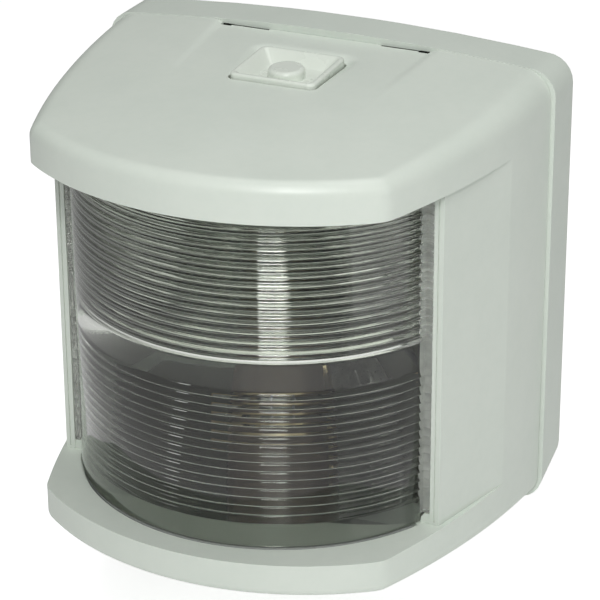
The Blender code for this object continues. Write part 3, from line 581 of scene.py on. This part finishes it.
def rounded_loop(half, corner, steps=6, straight=8):
    """Points round a rounded rectangle centred on the latch head, also along its straight sides."""
    points = []
    for quarter in range(4):
        sign_x = 1 if quarter in (0, 3) else -1
        sign_y = 1 if quarter in (0, 1) else -1
        middle = Vector((sign_x * (half.x - corner), HEAD_Y + sign_y * (half.y - corner)))
        for i in range(steps + 1):
            angle = pi / 2 * (quarter + i / steps)
            points.append(middle + corner * Vector((cos(angle), sin(angle))))
        run = 2 * (half.y - corner) if quarter in (1, 3) else 2 * (half.x - corner)
        ahead = Vector((-sin(pi / 2 * (quarter + 1)), cos(pi / 2 * (quarter + 1)))) * run / straight
        points += [points[-1] + ahead * i for i in range(1, straight)]
    return [tuple(p) for p in points]


def gusset(name, side, finish):
    """The small sloped block that stops the lens in the corner of the tray and the wall."""
    shape = bmesh.new()
    bmesh.ops.create_cube(shape, size=1)
    for vert in shape.verts:
        outer = vert.co.x * side > 0
        top = vert.co.z > 0
        vert.co.x = side * (BEAD_X if outer else STOP_INNER[0 if top else 1])
        vert.co.y = SCREEN_FRONT + FACE_SET_BACK + (STOP_DEPTH if vert.co.y > 0 else 0.0)
        vert.co.z = OPENING_BOTTOM + (STOP_HEIGHT if top else -0.0005)
    return add_object(name, shape, (finish,))


def lens_groove(name, low, high, finish):
    """Cutter for the groove that holds a lens seal."""
    middle = LENS_RADIUS - LENS_WALL / 2
    return arc_band(name, middle - SEAL_HALF_WIDTH, middle + SEAL_HALF_WIDTH, low, high, radians(64),
                    (finish,))


def arc_band(name, inner, outer, low, high, reach, finishes=(), steps=96):
    """A band that follows the lens, as far as the angle reach to each side."""
    shape = bmesh.new()
    section = [(outer, high), (outer, low), (inner, low), (inner, high)]
    rings = []
    for i in range(steps + 1):
        angle = reach * (2 * i / steps - 1)
        rings.append([shape.verts.new((r * sin(angle), LENS_CENTRE - r * cos(angle), z)) for r, z in section])
    loft(shape, rings)
    shape.faces.new(rings[0])
    shape.faces.new(rings[-1])
    return add_object(name, shape, finishes)


def on_lip(edge):
    """Edges round the lens opening, the screens' front faces and the open rear."""
    ends = [v.co for v in edge.verts]
    for height in (OPENING_TOP, OPENING_BOTTOM):
        if all(abs(p.z - height) < TOUCH for p in ends):
            return all(p.y < SCREEN_FRONT + TOUCH for p in ends)
    return all(abs(p.y - SCREEN_FRONT) < TOUCH and abs(p.x) > PASSAGE_HALF_WIDTH - 0.0001 for p in ends)


def lens_opening():
    """Cutter for everything between tray and visor: the open front, the wedges by which the side
    walls lean in, and the passage between the walls."""
    near, far, half = SCREEN_FRONT, SCREEN_FRONT + PASSAGE_DEPTH, PASSAGE_HALF_WIDTH
    right = [(FAR, -FAR), (FAR, LEAN_REAR.y), tuple(LEAN_REAR), (SCREEN_HALF_WIDTH, near),
             (half, near), (half, far)]
    outline = right + [(-x, y) for x, y in right[::-1]]
    shape = bmesh.new()
    rings = [[shape.verts.new((x, y, z)) for x, y in outline] for z in (OPENING_BOTTOM, OPENING_TOP)]
    loft(shape, rings)
    for ring in rings:
        shape.faces.new(ring)
    return add_object("lens opening", shape, (WHITE,))


def make_cover():
    cover = housing("cover_shell", WHITE)
    # The hollow's faces, the cover's inside, take the mid grey of painted shade.
    hollow = housing("hollow", COVER_INSIDE_SHADE, False, WALL, ROOF_THICKNESS, WALL, 0.003)
    decks = box("decks", (-FAR, -FAR, OPENING_BOTTOM - DECK), (FAR, SCREEN_FRONT + 0.002, OPENING_TOP + DECK))
    carve(hollow, [decks])
    carve(cover, [hollow, lens_opening()])
    round_edges(cover, on_lip, LIP_ROUNDING)
    window_half = HEAD_HALF + Vector((WINDOW_GAP, WINDOW_GAP))
    overlap = 0.0002
    cutters = [rounded_prism("window", window_half, HEAD_CORNER, 0.06, 0.09, (WHITE,)),
               lens_groove("lower seal groove", OPENING_BOTTOM - SEAL_DEPTH, OPENING_BOTTOM + overlap, WHITE),
               lens_groove("upper seal groove", OPENING_TOP - overlap, OPENING_TOP + SEAL_DEPTH, WHITE)]
    for side, label in ((-1, "left"), (1, "right")):
        x = side * HINGE_X
        cutters += [
            box("bead " + label,
                (side * BEAD_X - BEAD_HALF_WIDTH, SCREEN_FRONT - 0.001, OPENING_BOTTOM + 0.0005),
                (side * BEAD_X + BEAD_HALF_WIDTH, SCREEN_FRONT + FACE_SET_BACK, OPENING_TOP - 0.0005),
                (WHITE,)),
            box("notch " + label, (x - CLIP_WIDTH / 2 - CLIP_GAP, HINGE_AXIS.y - 0.0031, -0.012),
                (x + CLIP_WIDTH / 2 + CLIP_GAP, 0, 0.0012), (WHITE,))]
        for kind, span, width in (("slit ", THICK_SLIT, THICK_SLIT_WIDTH),
                                  ("fine slit ", FINE_SLIT, FINE_SLIT_WIDTH)):
            low, high = sorted(side * end for end in span)
            cutters.append(box(kind + label, (low, COVER_REAR - width, 0.07), (high, 0, 0.09), (WHITE,)))
    carve(cover, cutters)
    bars = []
    for side, label in ((-1, "left"), (1, "right")):
        reach = CLIP_WIDTH / 2 + 0.0022
        x = side * HINGE_X
        bars += [rod("bar " + label, HINGE_BAR, (x - reach, *HINGE_AXIS.yz),
                     (x + reach, *HINGE_AXIS.yz), (WHITE,)),
                 gusset("stop " + label, side, WHITE)]
    carve(cover, bars, "UNION")
    return place(smooth(cover), "cover", "cover_white", "cover")


# ---- the lens -------------------------------------------------------------------------
def rib(z_plain, z_crest, steps=4):
    """One rib from its plain edge to its crest, a slightly bulging slope."""
    plain = LENS_RADIUS - LENS_WALL
    points = []
    for i in range(steps + 1):
        share = i / steps
        bulge = RIB_BULGE * sin(pi * share)
        points.append((plain - RIB_DEPTH * share - bulge, z_plain + (z_crest - z_plain) * share))
    return points


def eased(points, turns=6):
    """A line with its sharp corners rounded off."""
    done = [points[0]]
    for before, corner, after in zip(points, points[1:], points[2:]):
        a, c, b = Vector(before), Vector(corner), Vector(after)
        if (c - a).angle(b - c) < radians(40):
            done.append(corner)
            continue
        start = c + (a - c).normalized() * min(RIB_EASE, (a - c).length * 0.45)
        end = c + (b - c).normalized() * min(RIB_EASE, (b - c).length * 0.45)
        done += [tuple(start.lerp(c, i / turns).lerp(c.lerp(end, i / turns), i / turns))
                 for i in range(turns + 1)]
    return done + [points[-1]]


def lens_section():
    """The lens in section, from the outer head round the foot and up the ribbed inside."""
    foot, head = LENS_LOW.z, LENS_HIGH.z
    plain = LENS_RADIUS - LENS_WALL
    crest = plain - RIB_DEPTH
    soft = 0.00025          # chamfer of the outer ends
    outside = [(LENS_RADIUS - soft, head), (LENS_RADIUS, head - soft), (LENS_RADIUS, foot + soft),
               (LENS_RADIUS - soft, foot)]
    step = 0.00012          # height of a rib's steep side
    lower_pitch = (LENS_BAND[0] - LOWER_RIBS_FOOT) / LOWER_RIBS
    upper_pitch = (UPPER_RIBS_HEAD - LENS_BAND[1]) / UPPER_RIBS
    inside = [(plain, foot)]
    for i in range(LOWER_RIBS):
        base = LOWER_RIBS_FOOT + i * lower_pitch
        inside += rib(base + step, base + lower_pitch)
    inside.append((crest - 0.00005, (LENS_BAND[0] + LENS_BAND[1]) / 2))
    for i in range(UPPER_RIBS):
        base = LENS_BAND[1] + i * upper_pitch
        inside += rib(base + upper_pitch - step, base)[::-1]
    inside.append((plain, head))
    return outside + eased(inside)


def lens_path(steps):
    """Points of the lens's outer face in plan with its outward direction: the arc, then at each
    end a flat flange that faces forwards between the arc and the side wall."""
    reach = acos((LENS_CENTRE - FLANGE_Y) / LENS_RADIUS)
    arc = []
    for i in range(steps + 1):
        angle = reach * (2 * i / steps - 1)
        outward = Vector((sin(angle), -cos(angle)))
        arc.append((Vector((0, LENS_CENTRE)) + LENS_RADIUS * outward, outward))
    flange = []
    start = arc[-1][0]
    for i in range(1, FLANGE_STEPS + 1):
        angle = reach * (1 - i / FLANGE_STEPS)
        outward = Vector((sin(angle), -cos(angle)))
        flange.append((start + Vector((TURN_STEP * i, 0)), outward))
    flange.append((Vector((FLANGE_END, FLANGE_Y)), Vector((0, -1))))
    mirrored = [(Vector((-spot.x, spot.y)), Vector((-outward.x, outward.y)))
                for spot, outward in flange[::-1]]
    return mirrored + arc + flange


def make_lens():
    shape = bmesh.new()
    section = lens_section()
    steps = 144
    rings = []
    for spot, outward in lens_path(steps):
        rings.append([shape.verts.new((*(spot + outward * (r - LENS_RADIUS)), z)) for r, z in section])
    loft(shape, rings)
    shape.faces.new(rings[0])
    shape.faces.new(rings[-1])
    lens = add_object("lens_clear", shape, (CLEAR, FROSTED_GLOW))
    outer_faces = 4         # of each strip; the faces after them are the ribbed inside
    # Painted light: the flanges and the ribbed inside at the lens's ends take the pale, faintly glowing matt.
    for face in lens.data.polygons:
        strip, number = divmod(face.index, len(section))
        if not FLANGE_STEPS < strip < len(rings) - 2 - FLANGE_STEPS and number >= outer_faces:
            face.material_index = 1
    carve(lens, [lens_notch(side) for side in (-1, 1)])
    lens.data.shade_smooth()
    lens.data.set_sharp_from_angle(angle=radians(45))
    return place(lens, "cover", "clear_acrylic", "lens")


def lens_notch(side):
    """Cutter that makes room for the lens's stop."""
    low, high = sorted((side * (STOP_INNER[1] - 0.0002), side * (LENS_RADIUS + 0.0001)))
    return box("notch", (low, SCREEN_FRONT - FACE_SET_BACK, 0.0),
               (high, SCREEN_FRONT + STOP_DEPTH + 0.0006, OPENING_BOTTOM + STOP_HEIGHT + 0.0002), (CLEAR,))


# ---- the latch ------------------------------------------------------------------------
def make_latch():
    """The head as one loft from its foot over rim and tray to the boss, on a thin tongue."""
    shape = bmesh.new()
    soft = 0.00022          # rounding of the rim's inner edge and round the tray
    edge = 0.0007           # rounding of the boss

    def head_ring(shrink, z, corner=HEAD_CORNER):
        half = HEAD_HALF - Vector((shrink, shrink))
        return [shape.verts.new((x, y, z)) for x, y in rounded_loop(half, max(corner - shrink / 2, 0.0004))]

    def boss_ring(radius, z):
        ring = []
        for x, y in rounded_loop(HEAD_HALF, HEAD_CORNER):
            angle = atan2(y - HEAD_Y, x)
            ring.append(shape.verts.new((radius * cos(angle), HEAD_Y - BOSS_Y + radius * sin(angle), z)))
        return ring

    quarter = [pi / 2 * i / 5 for i in range(6)]
    foot = LATCH_PIVOT_Z - TOP_SLOPE * (COVER_REAR - HEAD_Y) - 0.0004
    tray = HEAD_TOP - TRAY_DEPTH
    boss_top = HEAD_TOP - BOSS_DROP
    rings = [head_ring(0, foot)]
    rings += [head_ring(HEAD_EDGE * (1 - cos(a)), HEAD_TOP - HEAD_EDGE * (1 - sin(a))) for a in quarter]
    rings += [head_ring(HEAD_RIM - soft, HEAD_TOP), head_ring(HEAD_RIM, HEAD_TOP - soft * 0.35),
              head_ring(HEAD_RIM + soft * 0.7, HEAD_TOP - soft),
              head_ring(HEAD_RIM + TRAY_RUN - soft, tray + soft),
              head_ring(HEAD_RIM + TRAY_RUN, tray + soft * 0.35),
              head_ring(HEAD_RIM + TRAY_RUN + soft, tray)]
    rings += [boss_ring(BOSS_RADIUS + soft, tray), boss_ring(BOSS_RADIUS + soft * 0.3, tray + soft * 0.3),
              boss_ring(BOSS_RADIUS, tray + soft)]
    rings += [boss_ring(BOSS_RADIUS - edge * (1 - cos(a)), boss_top - edge * (1 - sin(a))) for a in quarter]
    loft(shape, rings)
    shape.faces.new(rings[0])
    shape.faces.new(rings[-1])
    for vert in shape.verts:
        vert.co.z += FLAT_SLOPE * (vert.co.y - HEAD_Y)
    head = add_object("latch_button", shape, (LATCH_WHITE,))
    carve(head, tongue_pieces(), "UNION")
    return place(smooth(head, 50), "latch", "latch_white", "latch_tongue")


def tongue_top(y):
    """Height of the tongue's upper face, which runs parallel to the roof."""
    return LATCH_PIVOT_Z + TONGUE_THICKNESS / 2 - TOP_SLOPE * (LATCH_PIVOT_Y - y)


def tongue_pieces():
    """The strip under the roof and its root in the plate."""
    shape = bmesh.new()
    bmesh.ops.create_cube(shape, size=1)
    rear_of_strip = LATCH_PIVOT_Y + 0.0003
    for vert in shape.verts:
        y = LATCH_LOW.y if vert.co.y < 0 else rear_of_strip
        vert.co.x *= 2 * LATCH_HIGH.x
        vert.co.z = tongue_top(y) - (TONGUE_THICKNESS if vert.co.z < 0 else 0)
        vert.co.y = y
    bmesh.ops.bevel(shape, geom=shape.edges[:], offset=0.0003, segments=2, profile=0.5, affect="EDGES",
                    clamp_overlap=True)
    strip = add_object("tongue strip", shape, (LATCH_WHITE,))
    z = tongue_top(LATCH_PIVOT_Y + 0.0012)
    root_half = LATCH_HIGH.x - 0.0020
    rear_of_root = LATCH_PIVOT_Y + 0.0009   # so short that the root turns freely in its pocket
    root = box("tongue root", (-root_half, LATCH_PIVOT_Y - 0.0005, z - TONGUE_THICKNESS),
               (root_half, rear_of_root, z), (LATCH_WHITE,))
    return [strip, root]


# ---- pieces refined from their CAD nodes ----------------------------------------------
def refined(node, name, finishes, rounding=0.0, segments=2, choose=None, angle=35):
    """A copy of a CAD node with merged flats and softened edges."""
    shape = bmesh.new()
    shape.from_mesh(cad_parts[node].data)
    bmesh.ops.remove_doubles(shape, verts=shape.verts, dist=MERGE)
    bmesh.ops.dissolve_limit(shape, angle_limit=radians(1), verts=shape.verts, edges=shape.edges)
    if rounding:
        edges = [e for e in shape.edges if len(e.link_faces) == 2 and e.calc_face_angle() > radians(angle)
                 and (choose is None or choose(e))]
        bmesh.ops.bevel(shape, geom=edges, offset=rounding, segments=segments, profile=0.5, affect="EDGES",
                        clamp_overlap=True)
    made = add_object(name, shape, finishes)
    return smooth(made)


def make_back_plate():
    """The plate with rounded outer edges, a grey inside painted as shade and dark pockets behind the slits
    painted as their shade.
    """
    front, rear = -0.0084, -0.0001          # just inside its front and rear faces
    rim_x, rim_low, rim_high = 0.0345, 0.0035, 0.0705
    pocket_front, pocket_rear, pocket_foot = -0.0095, -0.0066, 0.0716

    def outer(edge):
        at_rim = all(abs(v.co.x) > rim_x or not rim_low <= v.co.z <= rim_high for v in edge.verts)
        return at_rim and all(v.co.y < front or v.co.y > rear for v in edge.verts)

    plate = refined("back_plate", "plate_shell", (PLATE_WHITE, INTERIOR_SHADE_GREY), 0.0005, 3, outer)
    # Painted shade: the plate's inside faces get the dark grey that stands in for the shade inside the
    # housing.
    for face in plate.data.polygons:
        x, y, z = face.center
        if abs(x) < 0.0374 and 0.001 < z < 0.0715 and front < y < -0.0022:
            face.material_index = 1
    # Painted shade: dark grey pockets behind the slits make them read as shadowed gaps.
    pockets = []
    for side in (-1, 1):
        for span, pocket_head in ((THICK_SLIT, 0.07315), (FINE_SLIT, 0.07310)):
            low, high = sorted(side * end for end in span)
            pockets.append(box("slit pocket", (low, pocket_front, pocket_foot),
                               (high, pocket_rear, pocket_head), (INTERIOR_SHADE_GREY,)))
    carve(plate, pockets)
    return place(smooth(plate), "back", "plate_white", "back_plate")


def make_small_parts():
    """Lamp holder, lamp cap and seals: the CAD shapes with softened edges."""
    finished = {        # slot: (finish, {node: (body, rounding)})
        "dark_insulation": (PHENOLIC, {
            "socket_shell": ("back", 0.00012), "socket_insulator": ("back", 0.00015),
            "contact_disc": ("contacts", 0.0002), "bulb_base": ("bulb", 0.0001)}),
        "stainless_steel": (STEEL, {
            "socket_bracket": ("back", 0.00015), "terminal_screw_left": ("back", 0.0001),
            "terminal_screw_right": ("back", 0.0001), "bracket_screw_left": ("back", 0.0001),
            "bracket_screw_right": ("back", 0.0001)}),
        "lamp_brass": (BRASS, {
            "terminal_left": ("back", 0.00015), "terminal_right": ("back", 0.00015),
            "contact_pin_left": ("contacts", 0.00025), "contact_pin_right": ("contacts", 0.00025),
            "bulb_cap": ("bulb", 0.0001)}),
        "black_rubber": (RUBBER, {"cable_grommet": ("back", 0.0003), "rear_gasket": ("back", 0.0001)}),
        "silicone_seal": (SEAL, {
            "lens_seal_top": ("cover", 0.0001), "lens_seal_bottom": ("cover", 0.0001)}),
        "tungsten": (TUNGSTEN, {
            "filament": ("bulb", 0), "filament_lead_left": ("bulb", 0),
            "filament_lead_right": ("bulb", 0)}),
    }
    for slot, (finish, nodes) in finished.items():
        for node, (body, rounding) in nodes.items():
            piece = refined(node, node + "_finished", (finish,), rounding)
            if node.startswith("contact_pin"):
                carve(piece, [box("pin foot", (-FAR, -FAR, 0), (FAR, FAR, PIN_FOOT), (BRASS,))])
            place(piece, body, slot, node)


def make_flexible_parts():
    """Smooth-shaded copies of the lead wires, which stay in place, and of the contact spring, which rides on
    the back.
    """
    for side in ("left", "right"):
        wire = refined("lead_wire_" + side, "lead_wire_" + side + "_finished", (SLEEVE,))
        bake(wire)
        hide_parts("lead_wire_" + side)
        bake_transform(wire)
    spring = refined("contact_spring", "contact_spring_finished", (STEEL,))
    bake(spring)
    place(spring, "back", "stainless_steel", "contact_spring")
    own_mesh(spring)


def make_glass():
    """Blown glass bulb with a rounded crown, a waist and an open neck in the cap."""
    wall = 0.0006
    radius = GLASS_HIGH.x
    crown = GLASS_HIGH.z - radius       # height of the crown's centre
    neck = 0.0060
    waist_top, waist_foot = 0.0325, 0.0268

    def side(offset):
        r = radius - offset
        arc = [(r * sin(pi / 2 * i / 14), crown + r * cos(pi / 2 * i / 14)) for i in range(15)]
        waist = []
        for i in range(1, 9):
            t = i / 8
            share = t * t * (3 - 2 * t)
            waist.append((r + (neck - offset - r) * share, waist_top + (waist_foot - waist_top) * t))
        return arc + waist + [(neck - offset, GLASS_LOW.z)]

    section = side(0.0) + side(wall)[::-1]
    shape = bmesh.new()
    steps = 48
    tip = shape.verts.new((0, LENS_CENTRE, crown + radius))
    inner_tip = shape.verts.new((0, LENS_CENTRE, crown + radius - wall))
    body = section[1:-1]
    rings = []
    for i in range(steps):
        angle = 2 * pi * i / steps
        rings.append([shape.verts.new((r * cos(angle), LENS_CENTRE + r * sin(angle), z)) for r, z in body])
    for i in range(steps):
        a, b = rings[i], rings[(i + 1) % steps]
        for k in range(len(body) - 1):
            shape.faces.new((a[k], a[k + 1], b[k + 1], b[k]))
        shape.faces.new((tip, a[0], b[0]))
        shape.faces.new((inner_tip, b[-1], a[-1]))
    glass = add_object("glass_bulb", shape, (GLASS,))
    glass.data.shade_smooth()
    return place(glass, "bulb", "lamp_glass", "bulb_glass")


# ---- stage ----------------------------------------------------------------------------
CAMERA_PLACE = Vector((0.167624, -0.386454, 0.214047))
CAMERA_RIGHT = Vector((0.91069, 0.41305, -0.00512))
CAMERA_UP = Vector((-0.16689, 0.37926, 0.91012))
CAMERA_LENS = 159.17
LIGHTS_AIM = Vector((0, -0.035, 0.035))
FLOOR_DROP = 0.0275         # the light is fixed to a wall, and its cover swings down this far
WORLD_LIGHT = 0.15
FLOOR_GLOW = 0.15
BACKDROP_GLOW = 0.60        # extra floor brightness that only the camera sees
LIGHTS = (      # name, place, width, height, power in watts
    ("flash", CAMERA_PLACE + Vector((-0.02, 0.02, 0.10)), 0.030, 0.030, 0.32),
    ("right fill", Vector((0.50, -0.15, 0.12)), 0.30, 0.30, 0.25),
    ("front softbox", Vector((0.14, -0.43, 0.48)), 0.14, 0.45, 1.65),
    ("top fill", Vector((0.05, 0.05, 0.60)), 0.40, 0.40, 0.85),
)


def studio():
    """Pale floor, white surroundings, a flash by the camera, a large softbox and two fills."""
    floor_finish = Finish("floor_white", Roughness=0.7)
    cloud = floor_finish.remap(floor_finish.noise(0.2, 2.0), 0.3, 0.7, 0.0, 1.0)
    pale = floor_finish.mix(cloud, (0.90, 0.90, 0.90), (0.93, 0.93, 0.93))
    floor_finish.feed(floor_finish.shader, "Base Color", pale)
    floor_finish.feed(floor_finish.shader, "Emission Color", pale)
    seen = floor_finish.node("LightPath").outputs["Is Camera Ray"]
    glow = floor_finish.remap(seen, 0.0, 1.0, FLOOR_GLOW, FLOOR_GLOW + BACKDROP_GLOW)
    floor_finish.feed(floor_finish.shader, "Emission Strength", glow)
    shape = bmesh.new()
    bmesh.ops.create_grid(shape, x_segments=4, y_segments=4, size=3.0)
    shape.transform(Matrix.Translation((0, 0, PLATE_FOOT - FLOOR_DROP)))
    ground = add_object("floor", shape, (floor_finish.material,))
    world = bpy.data.worlds.new("surroundings")
    bpy.context.scene.world = world
    world.use_nodes = True
    world.node_tree.nodes["Background"].inputs["Color"].default_value = (1.0, 1.0, 1.0, 1.0)
    world.node_tree.nodes["Background"].inputs["Strength"].default_value = WORLD_LIGHT
    for light in LIGHTS:
        area_light(*light)


def area_light(name, spot, width, height, power):
    light = bpy.data.lights.new(name, "AREA")
    light.shape = "RECTANGLE"
    light.size = width
    light.size_y = height
    light.energy = power
    made = bpy.data.objects.new(name, light)
    made.location = spot
    made.rotation_euler = (LIGHTS_AIM - spot).to_track_quat("-Z", "Y").to_euler()
    bpy.context.scene.collection.objects.link(made)


def camera():
    """A long lens from the right, above the light."""
    data = bpy.data.cameras.new("camera")
    data.lens = CAMERA_LENS
    data.sensor_width = 36
    data.clip_start = 0.01
    made = bpy.data.objects.new("camera", data)
    back = CAMERA_RIGHT.cross(CAMERA_UP)
    turn = Matrix((CAMERA_RIGHT, CAMERA_UP, back)).transposed()
    made.matrix_world = Matrix.Translation(CAMERA_PLACE) @ turn.to_4x4()
    bpy.context.scene.collection.objects.link(made)
    bpy.context.scene.camera = made


# ---- build ----------------------------------------------------------------------------
make_cover()
make_lens()
make_latch()
make_back_plate()
make_small_parts()
make_flexible_parts()
make_glass()
studio()
camera()
bpy.context.scene.view_settings.view_transform = "Standard"
